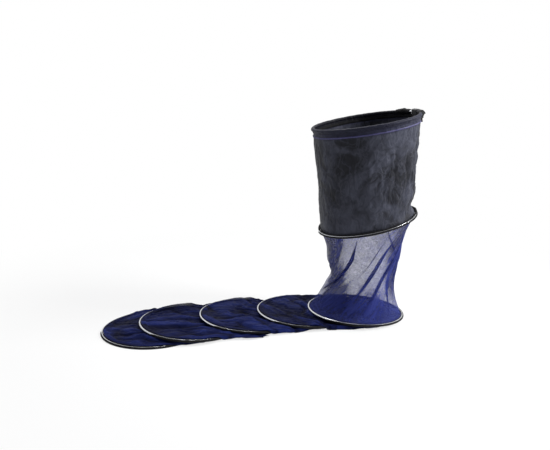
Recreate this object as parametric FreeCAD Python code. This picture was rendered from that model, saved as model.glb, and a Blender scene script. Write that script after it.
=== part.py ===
"""A round fishing keepnet, 2.5 m long when drawn out, half folded away.

Seven hoops carry one tube of netting. The mouth hoop and the second hoop stand
on the third one and hold a black sleeve and a twisted length of netting. The
lower four hoops have slid off sideways and lie like fallen shingles, each upper
hoop on the hoop to its left. Millimetres, +Z up, +X from the bottom hoop to the
mouth; the origin is the centre of the base of the box round all pieces.
"""
import FreeCAD, Part
import math
import os

V = FreeCAD.Vector

# Hoops below the mouth
hoop_radius = 200.0
tube_radius = 4.0
tube_wall = 1.0
hoop_gap = 0.4
pin_clearance = 0.15
pin_length = 50.0

# Tape that is sewn round each hoop's inner side
tape_thickness = 0.5
tape_clearance = 0.3
tape_low_angle = -50.0
tape_high_angle = 60.0
tape_facets = 5

# Fan of lower hoops: steps from each hoop's centre to the next one to its right
fan_steps = {6: (148.0, 0.0), 5: (248.0, 33.0), 4: (246.0, 1.0), 3: (215.0, -35.0)}
fan_bunch = {6: 10.0, 5: 8.0, 4: 7.0, 3: 7.0}

# Standing column
hoop_2_offset = (24.0, -49.0)
hoop_2_rise = 400.0
hoop_2_tilt = 12.35
mouth_offset = (-20.5, -12.0)
mouth_rise = 406.0
mouth_tilt = 9.2

# Mouth hoop
mouth_radius = 213.0
mouth_tube_radius = 5.0
mouth_tube_wall = 1.2
hem_thickness = 1.0
hem_clearance = 0.2
hem_flange = 8.0
hem_open_front = 4.0
hem_open_back = 24.0

# Netting and sleeve
net_thickness = 0.8
sleeve_thickness = 1.2
net_inset = 5.4
net_rise = 1.6
strip_count = 30
floor_clearance = 0.5
crest_half_width = 4.5
crest_height = 5.6
crest_foot = 9.5
crest_lead = 25.0
wall_spacing = 1.2
least_step = 0.8
clear_of_hoops = 60.0
wall_turn = 2.0
wall_edge_share = 0.95
upper_wall = 0.6
base_rim = 18.0
net_sag = 5.0
net_fold = 2.5
net_fold_count = 6
net_fold_turns = {6: 0.0, 5: 0.0, 4: 0.0, 3: 1.1}
twist_angle = 95.0
net_pleats = 10
net_pleat_depth = 5.0
net_levels = 8
sleeve_pleats = 9
sleeve_pleat_depth = 4.0
sleeve_waist = 5.0
sleeve_bulge = 3.2
sleeve_turn = 0.3
sleeve_levels = 6
cloth_gap = 0.5
open_end_share = 0.02

# Fitting that screws to a bank stick
block_length = 44.0
block_inner = 9.0
block_outer = 9.0
block_top = 12.0
block_bottom = 17.0
block_round = 4.0
socket_depth = 15.0
socket_clearance = 0.1
ear_thickness = 7.0
ear_reach = 21.0
ear_drop = 4.0
ear_radius = 9.0
knuckle_clearance = 0.3
arm_length = 25.0
arm_thickness = 14.0
arm_round = 2.0
leg_inset = 1.0
bolt_radius = 3.0
bolt_head_radius = 5.0
bolt_head_height = 3.2
bolt_clearance = 0.08
bolt_key_width = 1.2
screw_radius = 1.5
screw_head_radius = 3.0
screw_head_height = 2.4
screw_hole_clearance = 0.15
screw_sink = 0.6
screw_end_cover = 6.0
stud_radius = 4.76
stud_length = 14.0
stud_seat = 12.0
stud_flange = 1.6
stud_flange_reach = 1.8
knob_radius = 11.0
knob_length = 13.0
knob_lobes = 6
knob_lobe_radius = 3.0
knob_end_wall = 3.0
nut_radius = 5.0
nut_wall_clearance = 0.05


class Frame:
    """A hoop's own frame: centre, outward direction, side direction, normal."""

    def __init__(self, centre, slope_degrees):
        """Take the centre and the fall towards +X in degrees."""
        b = math.radians(slope_degrees)
        self.centre = V(*centre)
        self.out = V(math.cos(b), 0, -math.sin(b))
        self.side = V(0, 1, 0)
        self.up = V(math.sin(b), 0, math.cos(b))
        self.fall = math.tan(b)

    def place(self, shape):
        """Move a shape modelled about the origin into this frame."""
        m = FreeCAD.Matrix(self.out.x, self.side.x, self.up.x, self.centre.x,
                           self.out.y, self.side.y, self.up.y, self.centre.y,
                           self.out.z, self.side.z, self.up.z, self.centre.z)
        return placed(shape, m)

    def plane_height(self, x):
        """Return the height of the hoop's plane at a world x."""
        return self.centre.z - self.fall * (x - self.centre.x)


def placed(shape, matrix):
    """Return a copy of a shape moved by a rigid matrix."""
    copy = shape.copy()
    copy.Placement = FreeCAD.Placement(matrix)
    return copy


def fan_frames():
    """Return the frames of hoops 7 to 3, each resting on the one before."""
    frames = {7: Frame((0, 0, tube_radius), 0.0)}
    x, y, fall = 0.0, 0.0, 0.0
    for n in (6, 5, 4, 3):
        dx, dy = fan_steps[n]
        stack = fall * (hoop_radius - dx / 2) + 2 * tube_radius + fan_bunch[n]
        fall = stack / (hoop_radius + dx / 2)
        x += dx
        y += dy
        height = tube_radius + fall * hoop_radius
        frames[n] = Frame((x, y, height), math.degrees(math.atan(fall)))
    return frames


def column_frames(base):
    """Return the frames of hoop 2 and the mouth hoop above hoop 3."""
    c = base.centre
    two = (c.x + hoop_2_offset[0], c.y + hoop_2_offset[1], c.z + hoop_2_rise)
    one = (two[0] + mouth_offset[0], two[1] + mouth_offset[1], two[2] + mouth_rise)
    return {2: Frame(two, -hoop_2_tilt), 1: Frame(one, -mouth_tilt)}


def turned(profile, start, sweep):
    """Turn a face in the XZ plane about Z from a start angle, in degrees."""
    face = profile.copy()
    face.rotate(V(0, 0, 0), V(0, 0, 1), start)
    return face.revolve(V(0, 0, 0), V(0, 0, 1), sweep)


def disc(radius, centre_radius):
    """Return a round face in the XZ plane, out on the X axis."""
    circle = Part.Circle(V(centre_radius, 0, 0), V(0, 1, 0), radius)
    return Part.Face(Part.Wire(circle.toShape()))


def hoop_tube():
    """Return one hoop of bent tube with a fine gap where its ends meet."""
    gap = math.degrees(hoop_gap / hoop_radius)
    ring = disc(tube_radius, hoop_radius).cut(disc(tube_radius - tube_wall, hoop_radius))
    return turned(ring, gap / 2, 360 - gap)


def hoop_pin():
    """Return the curved pin inside the two tube ends."""
    sweep = math.degrees(pin_length / hoop_radius)
    face = disc(tube_radius - tube_wall - pin_clearance, hoop_radius)
    return turned(face, -sweep / 2, sweep)


def hoop_tape():
    """Return the tape that hugs the inner side of a hoop's tube."""
    inner = tube_radius + tape_clearance
    outer = inner + tape_thickness
    step = (tape_high_angle - tape_low_angle) / tape_facets
    angles = [math.radians(180 - tape_low_angle - step * i) for i in range(tape_facets + 1)]
    rim = [V(hoop_radius + outer * math.cos(a), 0, outer * math.sin(a)) for a in angles]
    rim += [V(hoop_radius + inner * math.cos(a), 0, inner * math.sin(a)) for a in angles[::-1]]
    return turned(Part.Face(Part.makePolygon(rim + [rim[0]])), 0, 360)


def smooth(t):
    """Return an eased 0 to 1 step."""
    t = max(0.0, min(1.0, t))
    return t * t * (3 - 2 * t)


def spread(values, start, end):
    """Return sorted values kept a least step apart between start and end."""
    values = sorted(values)
    for i, low in enumerate([start] + values[:-1]):
        values[i] = max(values[i], low + least_step)
        if i + 1 < len(values):
            values[i + 1] = max(values[i + 1], values[i] + least_step)
    high = end
    for i in range(len(values) - 1, -1, -1):
        values[i] = min(values[i], high - least_step)
        high = values[i]
    return values


def hoop_offset(frame, place):
    """Return how far outside a hoop's centre line a ground point lies."""
    return math.hypot(place.x - frame.centre.x, place.y - frame.centre.y) - hoop_radius


def tube_cover(offset):
    """Return how far netting stays off a hoop's plane, far below off the tube."""
    if offset < -net_inset or offset > crest_foot:
        return -clear_of_hoops
    if offset < -crest_half_width:
        share = (offset + net_inset) / (net_inset - crest_half_width)
        return net_rise + (crest_height - net_rise) * share
    if offset < crest_half_width:
        return crest_height
    share = (offset - crest_half_width) / (crest_foot - crest_half_width)
    return crest_height - (crest_height + net_rise) * share


class LyingNet:
    """The slack tube of netting between two lying hoops.

    Strips run side by side from the lower hoop's inner edge to the upper one's.
    On the left they drape over the lower hoop's disc and duck under the upper
    tube; on the right they climb over the lower tube and lie on the ground.
    """

    def __init__(self, lower, upper, fold_turn):
        """Take the frames of the two hoops and where its folds begin."""
        self.lower = lower
        self.fold_turn = fold_turn
        self.upper = upper
        along = upper.centre - lower.centre
        along.z = 0
        self.gap = along.Length
        self.along = along.normalize()
        self.side = V(-self.along.y, self.along.x, 0)
        self.inner = hoop_radius - net_inset

    def upper_share(self, angle):
        """Return 1 on the upper wall, 0 on the lower wall, eased between."""
        return smooth(0.5 - wall_turn * math.cos(angle))

    def stations(self, q, start, end, leftward):
        """Return where the strip bends along it, and how far it stays raised."""
        def reach(radius):
            return math.sqrt(max(radius ** 2 - q ** 2, 0.0))

        near = [reach(hoop_radius + d) for d in (-crest_half_width, crest_half_width, crest_foot)]
        far = [self.gap - reach(hoop_radius + d)
               for d in (crest_foot, crest_half_width, -crest_half_width)]
        if near[2] < far[0]:
            return spread(near + [(near[2] + far[0]) / 2] + far, start, end), start
        if leftward:
            step = min((far[0] - start) / 5, (near[0] - start) / 4)
            return spread([start + step * i for i in (1, 2, 3, 4)] + far, start, end), end
        step = (end - near[2]) / 5
        return spread(near + [near[2] + step * i for i in (1, 2, 3, 4)], start, end), far[2]

    def height(self, place, t, share, angle, start_height, raised):
        """Return the strip's height over a ground point, t along the strip."""
        low_plane = self.lower.plane_height(place.x)
        high_plane = self.upper.plane_height(place.x)
        fold = net_fold * math.sin(net_fold_count * angle + 2 * t + self.fold_turn) - net_sag
        drape = start_height + (high_plane - crest_height - start_height) * t
        drape += fold * math.sin(math.pi * t)
        ground = floor_clearance + net_thickness / 2
        z = share * drape + (1 - share) * ground
        offset = hoop_offset(self.lower, place)
        lead = crest_lead if share > 0.5 else crest_half_width
        if (raised or share > 0.5) and offset > -lead:
            z = max(z, low_plane + crest_height + wall_spacing * share)
        z = max(z, low_plane + tube_cover(offset) + wall_spacing * share)
        z = min(z, high_plane - tube_cover(hoop_offset(self.upper, place))
                - wall_spacing * (1 - share))
        return max(z, ground)

    def plan(self, p, q):
        """Return the ground point p along and q across from the lower centre."""
        c = self.lower.centre
        return V(c.x, c.y, 0) + self.along * p + self.side * q

    def outward(self, angle):
        """Return the way the wall's thickness points: upright, and sideways at the two edges."""
        share = (abs(math.sin(angle)) - wall_edge_share) / (1 - wall_edge_share)
        lean = math.pi / 2 * smooth(share)
        sideways = self.side * math.copysign(math.sin(lean), math.sin(angle))
        return sideways - V(0, 0, math.copysign(math.cos(lean), math.cos(angle)))

    def strip(self, angle):
        """Return the closed thin profile of one strip."""
        q = self.inner * math.sin(angle)
        start = self.inner * math.cos(angle)
        end = start + self.gap
        share = self.upper_share(angle)
        first = self.plan(start, q)
        last = self.plan(end, q)
        middle = []
        first.z = self.lower.plane_height(first.x) + net_rise
        last.z = self.upper.plane_height(last.x) - net_rise
        bends, raised_end = self.stations(q, start, end, share > upper_wall)
        for p in bends:
            place = self.plan(p, q)
            t = (p - start) / self.gap
            place.z = self.height(place, t, share, angle, first.z, p < raised_end)
            middle.append(place)
        path = [first] + middle + [last]
        shift = self.outward(angle) * (net_thickness / 2)
        outer = [point + shift for point in path]
        inner = [point - shift for point in path]
        return Part.makePolygon(outer + inner[::-1] + [outer[0]])

    def solid(self):
        """Return the closed band of strips as one thin-walled solid."""
        step = 2 * math.pi / strip_count
        wires = [self.strip(step * (i + 0.5)) for i in range(strip_count)]
        return oriented(Part.makeLoft(wires, True, True, True))


def oriented(shape):
    """Return a solid that counts as full, not as a void."""
    solid = shape.Solids[0]
    if solid.Volume < 0:
        solid.reverse()
    return solid


def pleated_wire(centre, out, side, radius, depth, count, turn):
    """Return a closed wire of arcs that bulge between count creases."""
    def at(distance, angle):
        return centre + out * (distance * math.cos(angle)) + side * (distance * math.sin(angle))

    edges = []
    for i in range(count):
        a = turn + 2 * math.pi * i / count
        b = turn + 2 * math.pi * (i + 1) / count
        arc = Part.Arc(at(radius - depth, a), at(radius + depth, (a + b) / 2), at(radius - depth, b))
        edges.append(arc.toShape())
    return Part.Wire(edges)


def cloth_tube(low, high, levels, law, thickness, count):
    """Return a thin tube between two frames; law gives radius, depth and turn."""
    walls = []
    for shrink, reach in ((0.0, 0.0), (thickness, open_end_share)):
        wires = []
        for i in range(levels + 1):
            t = -reach + (1 + 2 * reach) * i / levels
            centre = low.centre + (high.centre - low.centre) * t
            out = (low.out * (1 - t) + high.out * t).normalize()
            side = V(0, 1, 0)
            radius, depth, turn = law(max(0.0, min(1.0, t)))
            wires.append(pleated_wire(centre, out, side, radius - shrink, depth, count, turn))
        walls.append(oriented(Part.makeLoft(wires, True, False)))
    return walls[0].cut(walls[1])


def standing_net(low, high):
    """Return the twisted netting between hoop 3 and hoop 2."""
    twist = math.radians(twist_angle)

    def law(t):
        x = 1 - t + t * math.cos(twist)
        y = t * math.sin(twist)
        radius = (hoop_radius - net_inset) * math.hypot(x, y)
        depth = net_pleat_depth * math.sin(math.pi * t)
        return radius, depth, math.atan2(y, x)

    return cloth_tube(shifted(low, net_rise), shifted(high, -net_rise), net_levels, law,
                      net_thickness, net_pleats)


def shifted(frame, height):
    """Return a frame moved along its own normal."""
    moved = Frame((0, 0, 0), 0.0)
    moved.centre = frame.centre + frame.up * height
    moved.out, moved.side, moved.up, moved.fall = frame.out, frame.side, frame.up, frame.fall
    return moved


def sleeve(low, high):
    """Return the black sleeve between hoop 2 and the mouth hem."""
    bottom = hoop_radius - net_inset
    top = mouth_radius + sleeve_thickness / 2
    drop = mouth_tube_radius + hem_clearance + hem_thickness + cloth_gap

    def law(t):
        radius = bottom + (top - bottom) * smooth(t) + (4 * t * (1 - t)) * (-sleeve_waist)
        radius += sleeve_bulge * math.sin(math.pi * min(1.0, 2 * t)) ** 2
        return radius, sleeve_pleat_depth * math.sin(math.pi * t), sleeve_turn

    tube = cloth_tube(shifted(low, net_rise), shifted(high, -drop), sleeve_levels, law,
                      sleeve_thickness, sleeve_pleats)
    return tube.cut(high.place(block_space()))


def base_net():
    """Return the flat panel that closes the bottom hoop."""
    edge = hoop_radius - net_inset
    low = -tube_radius + floor_clearance
    t = net_thickness
    points = [V(0, 0, low), V(edge - base_rim, 0, low), V(edge, 0, -net_rise - t / 2),
              V(edge, 0, -net_rise + t / 2), V(edge - base_rim, 0, low + t), V(0, 0, low + t)]
    face = Part.Face(Part.makePolygon(points + [points[0]]))
    return turned(face, 0, 360)


def block_space():
    """Return the room that the fitting's block takes in the cloth."""
    r = mouth_radius
    grow = cloth_gap
    return Part.makeBox(block_inner + block_outer + 2 * grow, block_length + 2 * grow,
                        block_top + block_bottom + 2 * grow,
                        V(r - block_inner - grow, -block_length / 2 - grow, -block_bottom - grow))


def block_angle():
    """Return half the angle that the block takes on the mouth hoop."""
    return math.degrees(math.asin(block_length / 2 / mouth_radius))


def socket_angle():
    """Return how far round each tube end stops from the block's middle."""
    reach = block_length / 2 - socket_depth
    return math.degrees(math.asin(reach / mouth_radius))


def screw_places():
    """Return the two screws' places on the mouth hoop."""
    middle = (block_angle() + socket_angle()) / 2
    places = []
    for sign in (-1, 1):
        a = math.radians(sign * middle)
        places.append(V(mouth_radius * math.cos(a), mouth_radius * math.sin(a), 0))
    return places


def mouth_tube():
    """Return the open mouth hoop, drilled where the screws pass."""
    start = socket_angle()
    bore = disc(mouth_tube_radius - mouth_tube_wall, mouth_radius)
    tube = turned(disc(mouth_tube_radius, mouth_radius).cut(bore), start, 360 - 2 * start)
    for place in screw_places():
        hole = Part.makeCylinder(screw_radius + screw_hole_clearance, 2 * block_bottom,
                                 place - V(0, 0, block_bottom), V(0, 0, 1))
        tube = tube.cut(hole)
    return tube


def mouth_hem():
    """Return the hem round the mouth hoop, open at the fitting."""
    inner = mouth_tube_radius + hem_clearance
    outer = inner + hem_thickness
    r = mouth_radius
    ring = disc(outer, r)
    tail = Part.makePlane(hem_thickness, outer + hem_flange, V(r - hem_thickness, 0, -outer - hem_flange),
                          V(0, -1, 0))
    profile = ring.fuse(tail).removeSplitter().cut(disc(inner, r))
    front = block_angle() + math.degrees(hem_open_front / r)
    back = block_angle() + math.degrees(hem_open_back / r)
    return turned(profile.Faces[0], back, 360 - back - front)


def ear_centre():
    """Return the pivot's place in the mouth frame."""
    return V(mouth_radius + ear_reach, 0, -ear_drop)


def slot_width():
    """Return the room between the two ears."""
    return arm_thickness + 2 * knuckle_clearance


def ears_outline(radius):
    """Return the side outline of an ear as a slab of the block's length."""
    c = ear_centre()
    width = slot_width() + 2 * ear_thickness
    start = mouth_radius + block_outer - block_round
    slab = Part.makeBox(c.x - start, width, 2 * radius, V(start, -width / 2, c.z - radius))
    boss = Part.makeCylinder(radius, width, V(c.x, -width / 2, c.z), V(0, 1, 0))
    return slab.fuse(boss)


def ring_block():
    """Return the moulded block that joins the mouth tube and carries the arm."""
    r = mouth_radius
    body = Part.makeBox(block_inner + block_outer, block_length, block_top + block_bottom,
                        V(r - block_inner, -block_length / 2, -block_bottom))
    body = body.makeFillet(block_round, body.Edges)
    body = body.fuse(ears_outline(ear_radius))
    c = ear_centre()
    width = slot_width()
    room = ear_radius + knuckle_clearance
    slot = Part.makeBox(2 * ear_reach, width, 4 * ear_radius,
                        V(c.x - room, -width / 2, c.z - 2 * ear_radius))
    body = body.cut(slot)
    body = body.cut(tube_sockets())
    for place in screw_places():
        body = body.cut(screw_shape(place, screw_hole_clearance))
    bolt_hole = Part.makeCylinder(bolt_radius + bolt_clearance, 2 * block_length,
                                  V(c.x, -block_length, c.z), V(0, 1, 0))
    head_seat = Part.makeCylinder(bolt_head_radius + bolt_clearance, block_length,
                                  V(c.x, -bolt_face() - block_length + bolt_head_height, c.z),
                                  V(0, 1, 0))
    return body.cut(bolt_hole).cut(head_seat)


def tube_sockets():
    """Return the two curved sockets for the mouth tube's ends."""
    radius = mouth_tube_radius + socket_clearance
    stop = socket_angle() - math.degrees(socket_clearance / mouth_radius)
    far = 2 * block_angle()
    one = turned(disc(radius, mouth_radius), stop, far - stop)
    other = turned(disc(radius, mouth_radius), -far, far - stop)
    return one.fuse(other)


def screw_shape(place, grow=0.0):
    """Return a clamp screw, or its hole when grown."""
    seat = block_top - screw_sink
    length = seat + block_bottom - screw_end_cover
    open_top = block_top if grow else 0.0
    head = Part.makeCylinder(screw_head_radius + grow, screw_head_height + open_top,
                             place + V(0, 0, seat - screw_head_height), V(0, 0, 1))
    shank = Part.makeCylinder(screw_radius + grow, length + grow,
                              place + V(0, 0, seat - screw_head_height - length - grow), V(0, 0, 1))
    return head.fuse(shank)


def block_screws():
    """Return the two screws that hold the mouth tube in the block."""
    return Part.makeCompound([screw_shape(place) for place in screw_places()])


def bolt_face():
    """Return how far each ear's outer face is from the middle."""
    return slot_width() / 2 + ear_thickness


def pivot_bolt():
    """Return the bolt through the ears and the knuckle, with its free thread."""
    c = ear_centre()
    start = -bolt_face()
    length = 2 * bolt_face() + cloth_gap + knob_length - knob_end_wall
    shank = Part.makeCylinder(bolt_radius, length, V(c.x, start, c.z), V(0, 1, 0))
    head = Part.makeCylinder(bolt_head_radius, bolt_head_height, V(c.x, start, c.z), V(0, 1, 0))
    key = Part.makeBox(bolt_key_width, bolt_head_height / 2, 2 * bolt_radius,
                       V(c.x - bolt_key_width / 2, start, c.z - bolt_radius))
    return head.fuse(shank).removeSplitter().cut(key)


def knob_start():
    """Return where the knob's inner face is."""
    return bolt_face() + cloth_gap


def lock_knob():
    """Return the lobed knob that locks the arm."""
    c = ear_centre()
    start = knob_start()
    body = Part.makeCylinder(knob_radius - knob_lobe_radius / 2, knob_length, V(c.x, start, c.z),
                             V(0, 1, 0))
    for i in range(knob_lobes):
        a = 2 * math.pi * i / knob_lobes
        centre = V(c.x + (knob_radius - knob_lobe_radius) * math.cos(a), start,
                   c.z + (knob_radius - knob_lobe_radius) * math.sin(a))
        body = body.fuse(Part.makeCylinder(knob_lobe_radius, knob_length, centre, V(0, 1, 0)))
    body = body.removeSplitter()
    room = Part.makeCylinder(nut_radius + nut_wall_clearance, knob_length - knob_end_wall + cloth_gap,
                             V(c.x, start, c.z), V(0, 1, 0))
    return body.cut(room)


def knob_nut():
    """Return the brass nut moulded into the knob."""
    c = ear_centre()
    start = knob_start()
    outer = Part.makeCylinder(nut_radius, knob_length - knob_end_wall, V(c.x, start, c.z),
                              V(0, 1, 0))
    bore = Part.makeCylinder(bolt_radius + bolt_clearance, knob_length, V(c.x, start, c.z),
                             V(0, 1, 0))
    return outer.cut(bore)


def swivel_arm():
    """Return the arm that turns on the bolt and holds the stud."""
    c = ear_centre()
    half = arm_thickness / 2
    knuckle = Part.makeCylinder(ear_radius, arm_thickness, V(c.x, -half, c.z), V(0, 1, 0))
    reach = ear_radius - leg_inset
    leg = Part.makeBox(2 * reach, arm_thickness, arm_length, V(c.x - reach, -half, c.z - arm_length))
    leg = leg.makeFillet(arm_round, leg.Edges)
    arm = knuckle.fuse(leg).removeSplitter()
    hole = Part.makeCylinder(bolt_radius + bolt_clearance, 2 * arm_thickness,
                             V(c.x, -arm_thickness, c.z), V(0, 1, 0))
    seat = Part.makeCylinder(stud_radius + nut_wall_clearance, stud_seat + nut_wall_clearance,
                             V(c.x, 0, c.z - arm_length), V(0, 0, 1))
    return arm.cut(hole).cut(seat)


def bank_stick_stud():
    """Return the brass stud that screws into a bank stick."""
    c = ear_centre()
    foot = c.z - arm_length
    shank = Part.makeCylinder(stud_radius, stud_seat + stud_flange + stud_length,
                              V(c.x, 0, foot - stud_flange - stud_length), V(0, 0, 1))
    flange = Part.makeCylinder(stud_radius + stud_flange_reach, stud_flange, V(c.x, 0, foot - stud_flange),
                               V(0, 0, 1))
    return shank.fuse(flange).removeSplitter()


def build():
    """Return every sub-part in place, by name."""
    frames = fan_frames()
    frames.update(column_frames(frames[3]))
    parts = {}
    for n in range(2, 8):
        parts[f"ring_{n}"] = frames[n].place(hoop_tube())
        parts[f"ring_{n}_pin"] = frames[n].place(hoop_pin())
        parts[f"ring_{n}_tape"] = frames[n].place(hoop_tape())
    for n in range(3, 7):
        parts[f"lying_net_{n}"] = LyingNet(frames[n + 1], frames[n], net_fold_turns[n]).solid()
    parts["base_net"] = frames[7].place(base_net())
    parts["standing_net"] = standing_net(frames[3], frames[2])
    parts["sleeve"] = sleeve(frames[2], frames[1])
    for make in (mouth_tube, mouth_hem, ring_block, block_screws, pivot_bolt, lock_knob,
                 knob_nut, swivel_arm, bank_stick_stud):
        parts[make.__name__] = frames[1].place(make())
    return frames, parts


def centred(frames, parts):
    """Move everything so that the box's base is centred on the origin."""
    box = FreeCAD.BoundBox()
    for shape in parts.values():
        box.add(shape.optimalBoundingBox(False, False))
    shift = V(-(box.XMin + box.XMax) / 2, -(box.YMin + box.YMax) / 2, -box.ZMin)
    for shape in parts.values():
        shape.translate(shift)
    for frame in frames.values():
        frame.centre = frame.centre + shift
    return box


def main():
    """Write one file for each sub-part."""
    os.makedirs("parts", exist_ok=True)
    frames, parts = build()
    box = centred(frames, parts)
    for name, shape in parts.items():
        shape.exportStep(f"parts/{name}.step")
        print(name, len(shape.Solids), shape.isValid(), round(shape.Volume / 1000, 2), "cm3")
    print("box", round(box.XLength, 1), round(box.YLength, 1), round(box.ZLength, 1))
    for n, frame in sorted(frames.items()):
        c = frame.centre
        print("hoop", n, round(c.x, 2), round(c.y, 2), round(c.z, 2), "fall", round(frame.fall, 4))


main()
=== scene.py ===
"""Looks of a round fishing keepnet: hoops, netting, sleeve, hem and fitting.

Lengths are in metres, +Z is up and +X runs from the bottom hoop to the mouth.
"""
import logging
import math
from dataclasses import dataclass, field
from enum import Enum
from typing import Callable, Mapping

import bmesh
import bpy
import numpy as np
from mathutils import Matrix, Vector


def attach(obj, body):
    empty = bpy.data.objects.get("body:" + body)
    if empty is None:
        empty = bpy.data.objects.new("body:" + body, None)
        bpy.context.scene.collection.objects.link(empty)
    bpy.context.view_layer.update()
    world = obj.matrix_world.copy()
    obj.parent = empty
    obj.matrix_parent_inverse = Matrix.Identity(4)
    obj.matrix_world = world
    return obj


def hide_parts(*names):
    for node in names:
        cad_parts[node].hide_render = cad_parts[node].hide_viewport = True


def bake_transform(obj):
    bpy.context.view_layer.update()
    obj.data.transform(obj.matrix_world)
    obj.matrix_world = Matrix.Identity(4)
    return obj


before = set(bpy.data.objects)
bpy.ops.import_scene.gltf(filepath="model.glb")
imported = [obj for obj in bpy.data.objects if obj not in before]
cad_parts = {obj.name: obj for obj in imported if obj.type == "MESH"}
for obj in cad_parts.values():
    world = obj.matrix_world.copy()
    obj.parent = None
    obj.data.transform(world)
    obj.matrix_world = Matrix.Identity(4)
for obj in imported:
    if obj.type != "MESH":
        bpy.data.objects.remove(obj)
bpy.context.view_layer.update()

LOG = logging.getLogger("keepnet")
Law = Callable[[np.ndarray, np.ndarray], np.ndarray]
Marks = dict[str, np.ndarray]
Triple = tuple[float, float, float]
Colour = Triple
EVEN: Triple = (1.0, 1.0, 1.0)
WHITE: Colour = (1.0, 1.0, 1.0)


class Hold(Enum):
    """How a sheet of cloth is carried."""

    HUNG = "hung"
    GATHERED = "gathered"
    STRETCHED = "stretched"


# Shader maths


class Signal:
    """One output socket that can stand in Python expressions."""

    def __init__(self, shade: "Shade", socket: bpy.types.NodeSocket) -> None:
        """Keep the socket and the shade that it belongs to."""
        self.shade = shade
        self.socket = socket

    def math(self, operation: str, *others: "Signal | float") -> "Signal":
        """Return a Math node's result with this signal first.

        Args:
            operation: the Math node's operation.
            others: the further inputs.

        Returns:
            The result's signal.
        """
        inputs = dict(enumerate((self,) + others))
        return self.shade.add("ShaderNodeMath", {"operation": operation}, inputs)

    def __add__(self, other: "Signal | float") -> "Signal":
        """Return the sum."""
        return self.math("ADD", other)

    def __sub__(self, other: "Signal | float") -> "Signal":
        """Return the difference."""
        return self.math("SUBTRACT", other)

    def __mul__(self, other: "Signal | float") -> "Signal":
        """Return the product."""
        return self.math("MULTIPLY", other)

    def __rsub__(self, other: float) -> "Signal":
        """Return a number less this signal."""
        return self.math("MULTIPLY", -1.0).math("ADD", other)

    __radd__ = __add__
    __rmul__ = __mul__

    def sine(self) -> "Signal":
        """Return the sine."""
        return self.math("SINE")

    def size(self) -> "Signal":
        """Return the absolute value."""
        return self.math("ABSOLUTE")

    def ramp(self, low: float, high: float, start: float = 0.0, end: float = 1.0) -> "Signal":
        """Return an eased step from start to end between low and high."""
        return self.shade.add("ShaderNodeMapRange", {"interpolation_type": "SMOOTHSTEP"}, {
            "Value": self, "From Min": low, "From Max": high, "To Min": start, "To Max": end}, "Result")


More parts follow.
